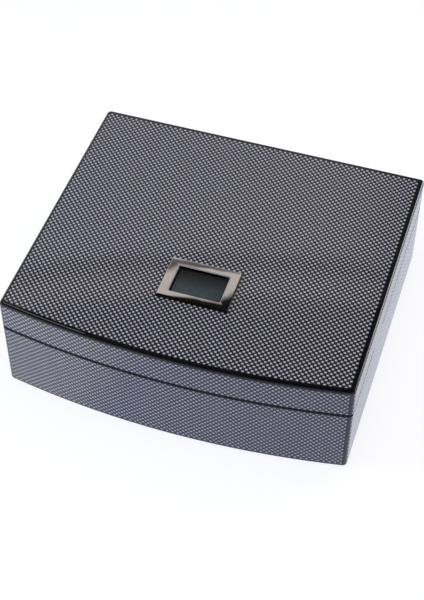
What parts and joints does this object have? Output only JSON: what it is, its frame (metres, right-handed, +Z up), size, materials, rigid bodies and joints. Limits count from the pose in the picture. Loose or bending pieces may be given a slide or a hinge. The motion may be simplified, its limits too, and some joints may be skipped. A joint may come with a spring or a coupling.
{
  "type": "humidor box",
  "caption": "Bow-front lacquered humidor box with a carbon-weave finish, hinged lid with stays, cedar lining, hygrometer display in the lid, humidifier and sliding divider.",
  "frame": {"origin": "on the supporting surface, under the middle of the side walls", "axes": "+Z up, +Y towards the hinges, +X to the right of someone facing the bowed front"},
  "size_m": [0.3, 0.2694, 0.1022],
  "materials": {
    "carbon_lacquer": "carbon-weave film under clear high-gloss lacquer on fibreboard, black rounded edges",
    "cedar": "raw Spanish cedar, fine straight grain",
    "felt": "black felt",
    "hinge_metal": "nickel plated",
    "bezel_chrome": "polished nickel-chrome",
    "clear_lens": "clear gloss",
    "display": "dark liquid-crystal glass, blank",
    "black_plastic": "fine texture",
    "button_plastic": "satin",
    "board_laminate": "green solder mask",
    "switch_plastic": "satin",
    "contact_rubber": "matte",
    "cell_steel": "satin",
    "foam": "open-cell foam"
  },
  "bodies": {
    "base": {"base_front_wall": "carbon_lacquer", "base_back_wall": "carbon_lacquer", "base_left_wall": "carbon_lacquer", "base_right_wall": "carbon_lacquer", "base_bottom_panel": "carbon_lacquer", "lining_front": "cedar", "lining_back": "cedar", "lining_left": "cedar", "lining_right": "cedar", "lining_floor": "cedar", "felt_pad": "felt", "hinge_base_leaf_left": "hinge_metal", "hinge_base_leaf_right": "hinge_metal", "hinge_pin_left": "hinge_metal", "hinge_pin_right": "hinge_metal", "hinge_base_screws": "hinge_metal"},
    "lid": {"lid_front_rail": "carbon_lacquer", "lid_back_rail": "carbon_lacquer", "lid_left_rail": "carbon_lacquer", "lid_right_rail": "carbon_lacquer", "lid_top_panel": "carbon_lacquer", "lid_lining_front": "cedar", "lid_lining_back": "cedar", "lid_lining_left": "cedar", "lid_lining_right": "cedar", "lid_lining_ceiling": "cedar", "hinge_lid_leaf_left": "hinge_metal", "hinge_lid_leaf_right": "hinge_metal", "hinge_lid_screws": "hinge_metal", "stay_rivets": "hinge_metal", "hygrometer_bezel": "bezel_chrome", "hygrometer_lens": "clear_lens", "display_mask": "black_plastic", "display_glass": "display", "contact_strips": "contact_rubber", "circuit_board": "board_laminate", "tact_switches": "switch_plastic", "coin_cell": "cell_steel", "battery_spring": "cell_steel", "hygrometer_housing": "black_plastic", "hygrometer_retainer": "black_plastic", "humidifier_plate": "cell_steel", "humidifier_magnets": "cell_steel", "humidifier_case": "black_plastic", "humidifier_foam": "foam", "humidifier_grille": "black_plastic"},
    "stay_left": {"stay_left": "hinge_metal"},
    "stay_right": {"stay_right": "hinge_metal"},
    "divider": {"divider": "cedar", "divider_cleats": "cedar"},
    "battery_door": {"battery_door": "black_plastic"},
    "unit_button": {"unit_button": "button_plastic"},
    "memory_button": {"memory_button": "button_plastic"},
    "shutter": {"humidifier_shutter": "black_plastic"}
  },
  "joints": [
    {"name": "lid_hinge", "type": "hinge", "parent": "base", "child": "lid", "pos_m": [0, 0.127, 0.07], "axis": [-1, 0, 0], "range_deg": [0, 95]},
    {"name": "stay_left_pivot", "type": "hinge", "parent": "lid", "child": "stay_left", "pos_m": [-0.1447, 0.101, 0.073], "axis": [-1, 0, 0], "range_deg": [-47.5, 0]},
    {"name": "stay_right_pivot", "type": "hinge", "parent": "lid", "child": "stay_right", "pos_m": [0.1447, 0.101, 0.073], "axis": [-1, 0, 0], "range_deg": [-47.5, 0]},
    {"name": "divider_slide", "type": "slide", "parent": "base", "child": "divider", "axis": [1, 0, 0], "range_m": [-0.165, 0.075]},
    {"name": "battery_door_slide", "type": "slide", "parent": "lid", "child": "battery_door", "axis": [-1, 0, 0], "range_m": [0, 0.014]},
    {"name": "unit_button_press", "type": "slide", "parent": "lid", "child": "unit_button", "axis": [0, 0, 1], "range_m": [0, 0.0008], "stiffness_N_per_m": 600},
    {"name": "memory_button_press", "type": "slide", "parent": "lid", "child": "memory_button", "axis": [0, 0, 1], "range_m": [0, 0.0008], "stiffness_N_per_m": 600},
    {"name": "shutter_slide", "type": "slide", "parent": "lid", "child": "shutter", "axis": [1, 0, 0], "range_m": [0, 0.005]}
  ],
  "couplings": [
    {"joint": "stay_left_pivot", "follows": "lid_hinge", "ratio": -0.5},
    {"joint": "stay_right_pivot", "follows": "lid_hinge", "ratio": -0.5}
  ]
}
